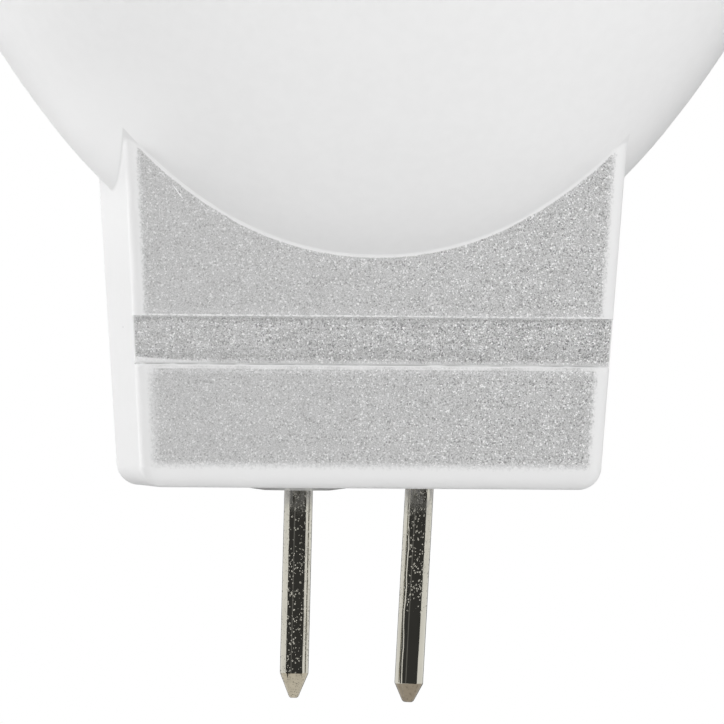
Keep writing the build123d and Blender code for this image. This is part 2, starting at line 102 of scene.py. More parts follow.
class Graph:
    """Node graph of one material, built from small named steps.

    Its x, y and z are the bulb's own coordinates, in metres.
    """

    def __init__(self, name: str) -> None:
        """Start an empty material with one surface shader.

        Args:
            name: The material's name.
        """
        self.material = bpy.data.materials.new(name)
        self.material.use_nodes = True
        self.nodes = self.material.node_tree.nodes
        self.links = self.material.node_tree.links
        self.nodes.clear()
        self.output = self.nodes.new("ShaderNodeOutputMaterial")
        self.shader = self.nodes.new("ShaderNodeBsdfPrincipled")
        self.links.new(self.shader.outputs["BSDF"], self.output.inputs["Surface"])
        coordinates = self.nodes.new("ShaderNodeTexCoord")
        self.place = coordinates.outputs["Object"]
        self.facing = coordinates.outputs["Normal"]
        self.x, self.y, self.z = self.parts(self.place)

    def feed(self, socket: Socket, value: Value | Sequence[float]) -> None:
        """Link an input to a value, or set it to a plain one.

        Args:
            socket: The input to fill.
            value: A field, an output socket, a number or a colour.
        """
        if isinstance(value, Field):
            value = value.socket
        if isinstance(value, Socket):
            self.links.new(value, socket)
        elif isinstance(value, (int, float)):
            socket.default_value = value
        else:
            wanted = len(socket.default_value)
            socket.default_value = (tuple(value) + (1.0,))[:wanted]

    def set(self, name: str, value: Value | Sequence[float]) -> None:
        """Fill the surface shader's input of that name."""
        self.feed(self.shader.inputs[name], value)

    def math(self, operation: str, *values: Value) -> Field:
        """Combine values in one math node.

        Args:
            operation: The kind of sum, as Blender names it.
            values: One or two values.

        Returns:
            The result.
        """
        node = self.nodes.new("ShaderNodeMath")
        node.operation = operation
        for socket, value in zip(node.inputs, values):
            self.feed(socket, value)
        return Field(self, node.outputs["Value"])

    def most(self, *values: Field) -> Field:
        """Give the largest of several values.

        Args:
            values: Two values or more.

        Returns:
            The largest one at each point.
        """
        result = values[0]
        for value in values[1:]:
            result = self.math("MAXIMUM", result, value)
        return result

    def step(self, value: Field, low: float, high: float) -> Field:
        """Rise smoothly from 0 to 1 while a value goes from low to high.

        Args:
            value: The value looked at.
            low: Where the rise begins.
            high: Where it ends; below low it falls instead.

        Returns:
            The share between 0 and 1.
        """
        node = self.nodes.new("ShaderNodeMapRange")
        node.interpolation_type = "SMOOTHSTEP"
        flipped = high < low
        self.feed(node.inputs["Value"], value)
        self.feed(node.inputs["From Min"], high if flipped else low)
        self.feed(node.inputs["From Max"], low if flipped else high)
        self.feed(node.inputs["To Min"], 1.0 if flipped else 0.0)
        self.feed(node.inputs["To Max"], 0.0 if flipped else 1.0)
        return Field(self, node.outputs["Result"])

    def band(self, value: Field, low: float, high: float, blur: float) -> Field:
        """Mark where a value lies between two limits, with soft ends.

        Args:
            value: The value looked at.
            low: Lower limit.
            high: Upper limit.
            blur: Width of each soft end.

        Returns:
            The share between 0 and 1.
        """
        rise = self.step(value, low - blur / 2, low + blur / 2)
        return rise * self.step(value, high + blur / 2, high - blur / 2)

    def rise(self, place: Field, low: float, high: float) -> Field:
        """Rise as step does, with both limits in millimetres."""
        return self.step(place, low * MM, high * MM)

    def strip(self, place: Field, low: float, high: float, blur: float) -> Field:
        """Mark a band as band does, with its limits and soft ends in millimetres."""
        return self.band(place, low * MM, high * MM, blur * MM)

    def parts(self, vector: Value) -> tuple[Field, ...]:
        """Split a vector.

        Args:
            vector: The vector.

        Returns:
            Its X, Y and Z.
        """
        node = self.nodes.new("ShaderNodeSeparateXYZ")
        self.feed(node.inputs["Vector"], vector)
        return tuple(Field(self, socket) for socket in node.outputs)

    def distance(self, place: tuple[float, float] = (0.0, 0.0)) -> Field:
        """Measure how far a point lies from an upright line.

        Args:
            place: The line's X and Y in millimetres.

        Returns:
            The distance in metres.
        """
        across, back = self.x - place[0] * MM, self.y - place[1] * MM
        return self.math("SQRT", across**2.0 + back**2.0)

    def scaled(self, stretch: Sequence[float]) -> Socket:
        """Give the object coordinates with each axis scaled.

        Args:
            stretch: How many times longer a pattern becomes along X, Y and Z.

        Returns:
            The scaled coordinates.
        """
        node = self.nodes.new("ShaderNodeMapping")
        self.links.new(self.place, node.inputs["Vector"])
        node.inputs["Scale"].default_value = [1.0 / value for value in stretch]
        return node.outputs["Vector"]

    def noise(self, grain: float, detail: float = 2.0, stretch: Sequence[float] = (1, 1, 1)) -> Field:
        """Make soft random patches.

        Args:
            grain: Size of a patch in millimetres.
            detail: How many finer layers it carries.
            stretch: How much longer the patches are along X, Y and Z.

        Returns:
            A value about 0.5.
        """
        node = self.nodes.new("ShaderNodeTexNoise")
        self.links.new(self.scaled(stretch), node.inputs["Vector"])
        node.inputs["Scale"].default_value = 1.0 / (grain * MM)
        node.inputs["Detail"].default_value = detail
        return Field(self, node.outputs["Fac"])

    def patches(self, grain: float, stretch: Sequence[float] = (1, 1, 1)) -> Field:
        """Make cloudy patches with clear borders, of a size in millimetres."""
        return self.step(self.noise(grain, 3.0, stretch), 0.3, 0.7)

    def cells(self, grain: float, stretch: Sequence[float] = (1, 1, 1), output: str = "Distance") -> Field:
        """Make scattered cells.

        Args:
            grain: Size of a cell in millimetres.
            stretch: How much longer the cells are along X, Y and Z.
            output: Distance to the cell's middle, or Color for a random value per cell.

        Returns:
            The chosen output.
        """
        node = self.nodes.new("ShaderNodeTexVoronoi")
        self.links.new(self.scaled(stretch), node.inputs["Vector"])
        node.inputs["Scale"].default_value = 1.0 / (grain * MM)
        return Field(self, node.outputs[output])

    def mix(self, share: Value, first: Paint, second: Paint) -> Field:
        """Blend two colours.

        Args:
            share: 0 for the first colour, 1 for the second.
            first: Colour or field.
            second: Colour or field.

        Returns:
            The blended colour.
        """
        node = self.nodes.new("ShaderNodeMix")
        node.data_type = "RGBA"
        self.feed(node.inputs[0], share)
        self.feed(node.inputs[6], first)
        self.feed(node.inputs[7], second)
        return Field(self, node.outputs[2])

    def shades(self, share: Field, colour: Colour, first: float, second: float) -> Field:
        """Blend two tones of one colour, each given by its factor."""
        return self.mix(share, tinted(colour, first), tinted(colour, second))

    def blend(self, share: Field, first: Value, second: Value) -> Field:
        """Blend two numbers.

        Args:
            share: 0 for the first number, 1 for the second.
            first: Number or field.
            second: Number or field.

        Returns:
            The blended number.
        """
        node = self.nodes.new("ShaderNodeMix")
        self.feed(node.inputs[0], share)
        self.feed(node.inputs[2], first)
        self.feed(node.inputs[3], second)
        return Field(self, node.outputs[0])

    def relief(self, height: Field, depth: float, below: Field | None = None) -> Field:
        """Turn a height pattern into surface relief.

        Args:
            height: The pattern, from 0 to 1.
            depth: Its full height in millimetres.
            below: Relief that this one lies on.

        Returns:
            The bent normal.
        """
        node = self.nodes.new("ShaderNodeBump")
        self.feed(node.inputs["Height"], height)
        node.inputs["Distance"].default_value = depth * MM
        if below is not None:
            self.feed(node.inputs["Normal"], below)
        return Field(self, node.outputs["Normal"])


def grey(value: float) -> Colour:
    """Give a neutral colour of one brightness."""
    return (value, value, value)


def tinted(colour: Colour, factor: float) -> Colour:
    """Give a colour made lighter or darker by a factor."""
    return tuple(min(1.0, part * factor) for part in colour)


@dataclass(frozen=True)
class Finish:
    """A finish by name, for one material."""

    name: str

    def build(self) -> bpy.types.Material:
        """Build the material.

        Returns:
            The finished material.
        """
        graph = Graph(self.name)
        self.paint(graph)
        return graph.material

    def paint(self, graph: Graph) -> None:
        """Fill the graph, each kind of finish in its own way."""
        raise NotImplementedError


@dataclass(frozen=True)
class Speck:
    """A small mark on the body: its middle, half sizes, tilt and brightness.

    Places and sizes are in millimetres.
    """

    x: float
    y: float
    z: float
    half_width: float
    half_height: float
    tilt_degrees: float = 0.0
    tone: float = 0.16


@dataclass(frozen=True)
class BodyPaint(Finish):
    """White satin moulding whose broad neck faces carry a grey sand-fine coat, with painted light and
    shade in its white and in the groove.
    """

    name: str = "body_white"
    white: Colour = (0.87, 0.87, 0.87)
    coat: Colour = (0.535, 0.535, 0.535)
    neck_half_depth: float = 4.7
    face_slope: float = math.tan(math.radians(4.1))
    groove_bottom: float = 4.12
    groove_top: float = 5.66
    neck_half_width: float = 7.63
    side_slope: float = math.tan(math.radians(3.6))
    # Tone factors of the bare white: above 1 painted light, below 1 painted shade.
    bowl_painted_light: float = 1.06
    flank_painted_light: float = 1.03
    flank_top_painted_shade: float = 0.895
    corner_painted_shade: float = 0.94
    border_painted_shade: float = 0.96
    # Paler groove lips: wear with painted highlight.
    wear_and_highlight_tone: float = 0.97
    # Painted shade in the groove's lower crease.
    crease_shade_tone: float = 0.5
    groove_shade: float = 0.55
    specks: tuple[Speck, ...] = ()

    def paint(self, graph: Graph) -> None:
        """Lay out the paint.

        Args:
            graph: The graph to fill.
        """
        depth = abs(graph.y)
        proud = self.past(graph, depth, self.neck_half_depth, self.face_slope)
        across = abs(graph.x)
        inside = self.past(graph, across, self.neck_half_width, self.side_slope) * -1.0
        facing = abs(graph.parts(graph.facing)[1])
        neck = graph.strip(depth, 4.0, 7.0, 0.2) * graph.strip(proud, -0.8, 0.04, 0.02)
        neck = neck * graph.rise(inside, -0.03, 0.0)
        ragged = graph.noise(0.09) - 0.5
        flat = graph.step(facing + ragged * 0.05, 0.9, 1.0) * neck
        floor = flat * graph.rise(proud, -0.2, -0.3)
        groove = floor * graph.rise(inside, 0.02, 0.08)
        face_cover = self.coat_cover(graph, inside, ragged) * flat
        coated = graph.most(groove, face_cover - floor)
        white = self.bare_white(graph, neck, facing, proud, inside)
        colour = graph.mix(coated, white, self.coat_colour(graph, groove))
        # Paler groove lips: partly worn coat, partly painted highlight and light.
        colour = graph.mix(self.worn(graph, neck, floor), colour, tinted(self.white, self.wear_and_highlight_tone))
        # Painted shade in the crease along the groove's lower ledge.
        colour = graph.mix(self.lower_crease_shade(graph, depth), colour, tinted(self.coat, self.crease_shade_tone))
        graph.set("Base Color", self.marked(graph, colour))
        graph.set("Roughness", graph.blend(coated, 0.42, 0.5))
        graph.set("Specular IOR Level", 0.4)
        normal = graph.relief(graph.noise(0.5), 0.003)
        graph.set("Normal", graph.relief(graph.noise(0.08), 0.002, normal))

    @staticmethod
    def past(graph: Graph, reach: Field, start: float, slope: float) -> Field:
        """Measure how far a point lies outside a face that starts so far out and slopes with height."""
        return reach - start * MM - graph.z * slope

    def bare_white(self, graph: Graph, neck: Field, facing: Field, proud: Field, inside: Field) -> Field:
        """Tone the bare white with painted shade, a little darker round the coat and at the flank's top,
        and painted light, paler low on the bowl's left and on the flank.

        Args:
            graph: The paint's graph.
            neck: Share of the neck's broad sides.
            facing: How squarely the surface faces front or back.
            proud: Distance outside the neck's broad face.
            inside: Distance inside the neck's side face.

        Returns:
            The white.
        """
        x, z = graph.x, graph.z
        mottle = graph.step(graph.noise(0.45), 0.3, 0.7)
        side = graph.strip(inside, -0.05, 0.4, 0.04)
        flank = side * graph.rise(x, 0.0, -1.0) * graph.rise(proud, 0.03, -0.01)
        low_left = graph.rise(x, -5.5, -8.6) * graph.rise(z, 9.2, 9.6)
        # All painted light or shade: paler low on the bowl's left and on the left flank, darker on the
        # neck's corners, the flank's top and the front-facing border.
        painted_tones = (
            (low_left * graph.rise(z, 15.0, 11.5), self.bowl_painted_light),
            (flank * graph.rise(z, 6.6, 9.4), self.flank_painted_light),
            (neck * graph.step(facing, 0.02, 0.5), self.corner_painted_shade),
            (flank * graph.rise(z, 9.5, 10.8) * graph.step(facing, 0.95, 0.6), self.flank_top_painted_shade),
            (neck * graph.step(facing, 0.6, 0.95), self.border_painted_shade),
        )
        white = graph.shades(mottle, self.white, 0.993, 1.007)
        for share, tone in painted_tones:
            white = graph.mix(share, white, tinted(self.white, tone))
        return white

    @staticmethod
    def coat_cover(graph: Graph, inside: Field, ragged: Field) -> Field:
        """Say where the coat covers a broad face: thin at its borders, softest low on the left.

        Args:
            graph: The paint's graph.
            inside: Distance inside the neck's side face.
            ragged: Fine noise about 0 for the border.

        Returns:
            The coat's share.
        """
        left = graph.rise(graph.x, 1.0, -1.0)
        lower = graph.rise(graph.z, 4.7, 4.3)
        soft = left * lower
        rubbed = soft * graph.rise(graph.z, 3.2, 4.0) * (0.12 * MM)
        upper_start = graph.blend(left, 0.32 * MM, 0.25 * MM)
        start = graph.blend(lower, upper_start, graph.blend(left, 0.375 * MM, 0.12 * MM))
        rim = (inside + ragged * (0.4 * MM) - (start + rubbed)) * graph.blend(soft, 1.0, 0.42)
        low = graph.z + ragged * (0.3 * MM)
        return graph.rise(rim, 0.0, 0.27) * graph.rise(low, 0.58, 0.94)

    def coat_colour(self, graph: Graph, groove: Field) -> Field:
        """Make the coat's grain: grey grit with light and dark sparks, rougher to the right, and painted
        shade on the groove's floor.

        Args:
            graph: The paint's graph.
            groove: Share of groove floor.

        Returns:
            The coat's colour.
        """
        side = graph.rise(graph.x, -7.5, 7.5)
        strength = graph.blend(side, 0.62, 1.12) + groove * 0.38
        grit = graph.noise(0.041) - 0.5
        cloud = graph.noise(0.5, 3.0) - 0.5
        streak = (graph.noise(0.1, stretch=(10, 1, 1)) - 0.5) * groove
        level = grit * 1.15 + cloud * 0.12 + streak * 0.3
        shade = level * strength + 0.5
        coat = graph.shades(shade, self.coat, 0.25, 1.75)
        chance, other, _ = graph.parts(graph.cells(0.045, output="Color"))
        light = graph.step(chance, 0.89, 0.95) * strength * 0.7
        dark = graph.step(other, 0.88, 0.95) * strength * 0.6
        coat = graph.mix(light, coat, grey(0.95))
        coat = graph.mix(dark, coat, tinted(self.coat, 0.3))
        # Painted shade on the groove's floor, deepest near its top and bottom edges.
        edges = graph.strip(graph.z, 4.30, 4.52, 0.14) + graph.strip(graph.z, 5.46, 5.60, 0.12)
        shadow = groove * edges * 0.14 + groove * 0.07
        return graph.mix(shadow, coat, tinted(self.coat, self.groove_shade))

    def worn(self, graph: Graph, neck: Field, floor: Field) -> Field:
        """Say where the groove's two lips are painted paler: partly coat rubbed off, partly painted
        highlight, with painted light beside the upper lip.

        Args:
            graph: The paint's graph.
            neck: Share of the neck's broad sides.
            floor: Share of the groove's floor.

        Returns:
            The share painted paler, for wear and painted highlight.
        """
        z, top, bottom = graph.z, self.groove_top, self.groove_bottom
        face = 1.0 - floor
        dotted = graph.step(graph.noise(0.07, stretch=(2, 1, 1)), 0.42, 0.56)
        patchy = graph.step(graph.noise(0.5, 3.0, (2, 1, 1)), 0.3, 0.6)
        # lip, ledge and fringe: partly rubbed coat, partly painted highlight; brow and under: painted
        # light beside the upper lip; foot and wedge: paler low in the groove.
        lip = graph.strip(z, top, top + 0.06, 0.02) * face * (dotted * 0.65 + 0.3)
        brow = graph.strip(z, top + 0.04, top + 0.22, 0.16) * face * 0.1
        under = graph.strip(z, top - 0.05, top, 0.02) * floor * 0.5
        ledge = graph.strip(z, bottom - 0.20, bottom - 0.07, 0.05) * face * (patchy * 0.45 + 0.3)
        fringe = graph.strip(z, bottom - 0.34, bottom - 0.15, 0.12) * face * dotted * 0.3
        foot = graph.rise(z, bottom + 0.14, bottom + 0.03) * floor * (patchy * 0.25 + 0.3)
        wedge = graph.x * 0.06 + z
        wedge = graph.rise(wedge, 3.86, 3.80) * floor * 0.8
        return graph.most(lip, brow, under, ledge, fringe, foot, wedge) * neck

    def lower_crease_shade(self, graph: Graph, depth: Field) -> Field:
        """Mark the thin broken line of painted shade in the crease where the groove's floor meets its
        lower ledge.

        Args:
            graph: The paint's graph.
            depth: Distance from the middle plane.

        Returns:
            The line's share.
        """
        line = graph.strip(graph.z, self.groove_bottom - 0.06, self.groove_bottom - 0.025, 0.015)
        broken = graph.step(graph.noise(0.4, 3.0, (2, 1, 1)), 0.36, 0.6)
        return line * graph.strip(depth, 4.5, 7.0, 0.1) * broken * 0.6

    def marked(self, graph: Graph, colour: Field) -> Field:
        """Lay the body's few specks and its scratch over its colour.

        Args:
            graph: The paint's graph.
            colour: The colour below the specks.

        Returns:
            The colour with the specks.
        """
        for speck in self.specks:
            turn = math.radians(speck.tilt_degrees)
            sine, cosine = math.sin(turn), math.cos(turn)
            across = graph.x - speck.x * MM
            up = graph.z - speck.z * MM
            along = across * cosine + up * sine
            aside = up * cosine - across * sine
            first = along * (1.0 / (speck.half_width * MM))
            second = aside * (1.0 / (speck.half_height * MM))
            reach = first**2.0 + second**2.0
            near = graph.strip(graph.y, speck.y - 0.1, speck.y + 0.1, 0.02)
            here = graph.step(reach, 1.0, 0.4) * near * 0.75
            colour = graph.mix(here, colour, grey(speck.tone))
        return colour


@dataclass(frozen=True)
class Moulding(Finish):
    """Plastic, rubber, resin or sintered body with mottled colour and fine relief."""

    colour: Colour
    roughness: float = 0.5
    spread: float = 0.06
    grain: float = 0.25
    relief: float = 0.004
    coat: float = 0.0

    def paint(self, graph: Graph) -> None:
        """Lay out the moulding's finish.

        Args:
            graph: The graph to fill.
        """
        patches = graph.patches(self.grain)
        graph.set("Base Color", graph.shades(patches, self.colour, 1 - self.spread, 1 + self.spread))
        rough = graph.noise(self.grain * 3)
        graph.set("Roughness", graph.blend(rough, self.roughness * 0.85, self.roughness * 1.15))
        graph.set("Coat Weight", self.coat)
        graph.set("Normal", graph.relief(graph.noise(self.grain, 3.0), self.relief))


@dataclass(frozen=True)
class Metal(Finish):
    """Bare or plated metal with drawn lines, stains and a little relief."""

    colour: Colour
    roughness: float = 0.3
    grain: float = 0.12
    stretch: tuple[float, float, float] = (1, 1, 8)
    relief: float = 0.003

    def paint(self, graph: Graph) -> None:
        """Lay out the metal's finish.

        Args:
            graph: The graph to fill.
        """
        stains = graph.step(graph.noise(self.grain * 8, 3.0), 0.3, 0.75)
        graph.set("Base Color", graph.shades(stains, self.colour, 1.06, 0.88))
        graph.set("Metallic", 1.0)
        lines = graph.noise(self.grain, 3.0, self.stretch)
        graph.set("Roughness", graph.blend(lines, self.roughness * 0.7, self.roughness * 1.3))
        graph.set("Normal", graph.relief(lines, self.relief))


@dataclass(frozen=True)
class TippedBody(Finish):
    """Component body whose ends or leads are tinned metal, split at a place on one axis."""

    colour: Colour
    axis: Axis
    low: float
    high: float
    roughness: float = 0.45
    metal: Colour = (0.72, 0.72, 0.70)
    mirrored: bool = False

    def paint(self, graph: Graph) -> None:
        """Lay out the component's finish.

        Args:
            graph: The graph to fill.
        """
        place = (graph.x, graph.y, graph.z)[self.axis.value]
        if self.mirrored:
            place = abs(place)
        body = graph.strip(place, self.low, self.high, 0.02)
        patches = graph.patches(0.2)
        shell = graph.shades(patches, self.colour, 0.9, 1.1)
        tin = graph.shades(patches, self.metal, 0.9, 1.05)
        graph.set("Base Color", graph.mix(body, tin, shell))
        graph.set("Metallic", graph.blend(body, 1.0, 0.0))
        graph.set("Roughness", graph.blend(body, 0.32, self.roughness))
        graph.set("Normal", graph.relief(graph.noise(0.12, 3.0), 0.004))


@dataclass(frozen=True)
class LightBoardMask(Finish):
    """White solder mask with a ring of covered tracks and bare pads round the screws."""

    name: str = "light_board_white"
    mask: Colour = (0.86, 0.86, 0.84)
    metal: Colour = (0.80, 0.62, 0.34)
    screw_places: tuple[tuple[float, float], ...] = ()
    track_radius: float = 7.2
    track_width: float = 2.6
    pad_radius: float = 1.6
    edge_radius: float = 10.3

    def paint(self, graph: Graph) -> None:
        """Lay out the board's finish.

        Args:
            graph: The graph to fill.
        """
        radius = graph.distance()
        inner, outer = self.track_radius - self.track_width / 2, self.track_radius + self.track_width / 2
        track = graph.strip(radius, inner, outer, 0.05)
        speckle = graph.patches(0.12)
        colour = graph.shades(speckle, self.mask, 0.97, 1.02)
        colour = graph.mix(track * 0.5, colour, tinted(self.mask, 0.9))
        pad_limits = self.pad_radius + 0.02, self.pad_radius - 0.02
        pads = [graph.rise(graph.distance(place), *pad_limits) for place in self.screw_places]
        bare = graph.most(*pads, graph.rise(radius, self.edge_radius - 0.05, self.edge_radius + 0.05))
        graph.set("Base Color", graph.mix(bare, colour, self.metal))
        graph.set("Metallic", bare)
        graph.set("Roughness", graph.blend(speckle, 0.3, 0.4))
        graph.set("Normal", graph.relief(track, 0.03))


@dataclass(frozen=True)
class DriverBoardMask(Finish):
    """Green solder mask over copper tracks, with a glass-cloth edge."""

    name: str = "driver_board_green"
    mask: Colour = (0.05, 0.24, 0.11)
    over_copper: Colour = (0.10, 0.38, 0.17)

    def paint(self, graph: Graph) -> None:
        """Lay out the board's finish.

        Args:
            graph: The graph to fill.
        """
        turned = graph.nodes.new("ShaderNodeMapping")
        graph.links.new(graph.place, turned.inputs["Vector"])
        turned.inputs["Rotation"].default_value = (math.radians(90), 0.0, 0.0)
        bricks = graph.nodes.new("ShaderNodeTexBrick")
        graph.links.new(turned.outputs["Vector"], bricks.inputs["Vector"])
        sizes = {"Scale": 1.0 / (6.0 * MM), "Mortar Size": 0.035, "Brick Width": 0.9, "Row Height": 0.33}
        for name, value in sizes.items():
            bricks.inputs[name].default_value = value
        cloudy = graph.patches(0.6)
        mask = graph.shades(cloudy, self.mask, 0.9, 1.12)
        graph.set("Base Color", graph.mix(bricks.outputs["Fac"], mask, self.over_copper))
        graph.set("Roughness", graph.blend(cloudy, 0.24, 0.34))
        graph.set("Normal", graph.relief(bricks.outputs["Fac"], 0.03))


@dataclass(frozen=True)
class EmitterFinish(Finish):
    """Ceramic base with a glossy silicone dome over the phosphor."""

    name: str = "emitter_dome"
    dome: Colour = (0.93, 0.72, 0.20)
    ceramic: Colour = (0.84, 0.84, 0.82)
    dome_start: float = 18.0

    def paint(self, graph: Graph) -> None:
        """Lay out the emitter's finish.

        Args:
            graph: The graph to fill.
        """
        above = graph.rise(graph.z, self.dome_start + 0.005, self.dome_start + 0.03)
        phosphor = graph.patches(0.1)
        dome = graph.shades(phosphor, self.dome, 0.93, 1.05)
        base = graph.shades(phosphor, self.ceramic, 0.96, 1.02)
        graph.set("Base Color", graph.mix(above, base, dome))
        graph.set("Roughness", graph.blend(above, 0.5, 0.16))
        graph.set("Normal", graph.relief(graph.noise(0.15), 0.003))


@dataclass(frozen=True)
class ClearMoulding(Finish):
    """Clear lens plastic, polished, with a fine pillow texture on the flange's face."""

    name: str = "lens_clear"
    tint: Colour = (0.96, 0.975, 0.98)
    refraction: float = 1.49
    face_height: float = 26.19

    def paint(self, graph: Graph) -> None:
        """Lay out the lens plastic.

        Args:
            graph: The graph to fill.
        """
        face = graph.rise(graph.z, self.face_height - 0.02, self.face_height)
        cloud = graph.patches(2.0)
        graph.set("Base Color", graph.mix(cloud, self.tint, tinted(self.tint, 0.985)))
        graph.set("Transmission Weight", 1.0)
        graph.set("IOR", self.refraction)
        graph.set("Roughness", graph.blend(cloud, 0.02, 0.05))
        pillows = graph.cells(1.1, (1, 1, 40)) * face
        graph.set("Normal", graph.relief(pillows, 0.12))


@dataclass(frozen=True)
class WoundCopper(Finish):
    """Enamelled copper turns laid side by side across the board's normal."""

    name: str = "winding_copper"
    colour: Colour = (0.72, 0.30, 0.12)
    wire: float = 0.2

    def paint(self, graph: Graph) -> None:
        """Lay out the winding's finish.

        Args:
            graph: The graph to fill.
        """
        wave = graph.nodes.new("ShaderNodeTexWave")
        wave.bands_direction = "Y"
        graph.links.new(graph.place, wave.inputs["Vector"])
        wave.inputs["Scale"].default_value = math.pi / 10.0 / (self.wire * MM)
        wave.inputs["Distortion"].default_value = 0.4
        turns = wave.outputs["Fac"]
        # The troughs between the turns are painted darker: painted shade between the wires.
        graph.set("Base Color", graph.mix(turns, tinted(self.colour, 0.45), self.colour))
        graph.set("Metallic", 1.0)
        graph.set("Roughness", graph.blend(turns, 0.5, 0.25))
        graph.set("Normal", graph.relief(turns, 0.06))


@dataclass(frozen=True)
class PinPlating(Finish):
    """Bright nickel plating with pits, drawn lines, a scored line and shallow dents."""

    axis_x: float
    lean_degrees: float
    cone_start: float
    # The cone's colour: partly its own duller metal, partly painted shade.
    cone_colour_and_shade: Colour
    smooth_below: float = -8.0
    score_degrees: float = 0.0
    colour: Colour = (0.60, 0.58, 0.505)
    film: Colour = (0.31, 0.305, 0.295)
    dents: float = 0.016
    drawn_lines: float = 0.0008
    score: float = 0.02
    pits: float = 0.032

    def paint(self, graph: Graph) -> None:
        """Lay out the plating.

        Args:
            graph: The graph to fill.
        """
        stains = graph.step(graph.noise(0.5, 3.0, (1, 1, 3)), 0.35, 0.75)
        shaft = graph.mix(stains, self.colour, tinted(self.colour, 0.9))
        # The cone carries painted shade, far deeper on the right pin than on the left.
        cone_stain = graph.patches(0.2)
        cone = graph.mix(cone_stain, self.cone_colour_and_shade, tinted(self.cone_colour_and_shade, 0.88))
        shadow = graph.step(graph.noise(0.09), 0.60, 0.66)
        cone = graph.mix(shadow * 0.35, cone, tinted(self.cone_colour_and_shade, 0.35))
        on_cone = graph.rise(graph.z, self.cone_start + 0.01, self.cone_start - 0.01)
        smoky = graph.step(graph.noise(0.14, 3.0, (1, 1, 4)), 0.3, 0.6)
        film = graph.rise(graph.z, -1.1, -0.15) * smoky * 0.8
        on_shaft = graph.mix(film, shaft, self.film)
        graph.set("Base Color", graph.mix(on_cone, on_shaft, cone))
        graph.set("Metallic", graph.blend(film, 1.0, 0.66))
        graph.set("Roughness", graph.blend(film, graph.blend(stains, 0.05, 0.1), 0.3))
        graph.set("Normal", self.surface(graph))

    def surface(self, graph: Graph) -> Field:
        """Lay dents, drawn lines, the scored line and pits over each other.

        Args:
            graph: The plating's graph.

        Returns:
            The bent normal.
        """
        z = graph.z
        normal = graph.relief(graph.noise(1.1, 1.0, (1, 1, 2.2)), self.dents)
        normal = graph.relief(graph.noise(0.05, stretch=(1, 1, 14)), self.drawn_lines, normal)
        if self.score_degrees:
            drift = z * math.tan(math.radians(self.lean_degrees))
            across = graph.x - self.axis_x * MM - drift
            round_the_pin = graph.math("ARCTAN2", across, graph.y * -1.0)
            waver = (graph.noise(1.6) - 0.5) * 0.5
            round_the_pin = round_the_pin + waver
            middle = math.radians(self.score_degrees)
            score = graph.band(round_the_pin, middle - 0.05, middle + 0.05, 0.1)
            score = score * graph.rise(z, -1.2, -2.0)
            normal = graph.relief(score, -self.score, normal)
        rough_zone = graph.rise(z, self.smooth_below - 0.4, self.smooth_below + 0.6)
        upper_thin = graph.blend(graph.rise(z, -2.6, -1.0), 1.0, 0.35)
        pits = graph.step(graph.cells(0.07, (1, 1, 1.3)), 0.36, 0.14)
        chosen = graph.step(graph.noise(0.12), 0.48, 0.56)
        return graph.relief(pits * chosen * rough_zone * upper_thin, self.pits, normal)


class Bench:
    """Edit-mode work on one mesh, with places chosen in code."""

    @staticmethod
    def clear() -> None:
        """Deselect everything, in object mode."""
        if bpy.context.mode != "OBJECT":
            bpy.ops.object.mode_set(mode="OBJECT")
        bpy.ops.object.select_all(action="DESELECT")

    @staticmethod
    def name(label: str) -> bpy.types.Object:
        """Name the object just added.

        Args:
            label: The name for the object and its mesh.

        Returns:
            The object.
        """
        piece = bpy.context.object
        piece.name = label
        piece.data.name = label
        return piece

    @staticmethod
    def pick(piece: bpy.types.Object, kind: str, test: Callable[[Vector], bool]) -> None:
        """Select the faces, edges or vertices whose middle passes a test, and enter edit mode.

        Args:
            piece: The mesh object.
            kind: FACE, EDGE or VERT.
            test: Tells from a middle point whether the element is wanted.
        """
        bpy.ops.object.mode_set(mode="EDIT")
        bpy.ops.mesh.select_mode(type=kind)
        bpy.ops.mesh.select_all(action="DESELECT")
        bpy.ops.object.mode_set(mode="OBJECT")
        corners = piece.data.vertices
        for element in {"FACE": piece.data.polygons, "EDGE": piece.data.edges, "VERT": corners}[kind]:
            around = [corners[index].co for index in getattr(element, "vertices", [element.index])]
            element.select = test(sum(around, Vector()) / len(around))
        bpy.ops.object.mode_set(mode="EDIT")

    @staticmethod
    def settle(piece: bpy.types.Object, angle_degrees: float = 35.0) -> None:
        """Put a piece's place into its mesh and smooth it by angle.

        Args:
            piece: The mesh object.
            angle_degrees: Edges sharper than this stay sharp.
        """
        Bench.clear()
        piece.select_set(True)
        bpy.context.view_layer.objects.active = piece
        bpy.ops.object.transform_apply(location=True, rotation=True, scale=True)
        bpy.ops.object.mode_set(mode="EDIT")
        bpy.ops.mesh.select_all(action="SELECT")
        bpy.ops.mesh.normals_make_consistent(inside=False)
        bpy.ops.object.mode_set(mode="OBJECT")
        bpy.ops.object.shade_smooth_by_angle(angle=math.radians(angle_degrees))
        Bench.clear()


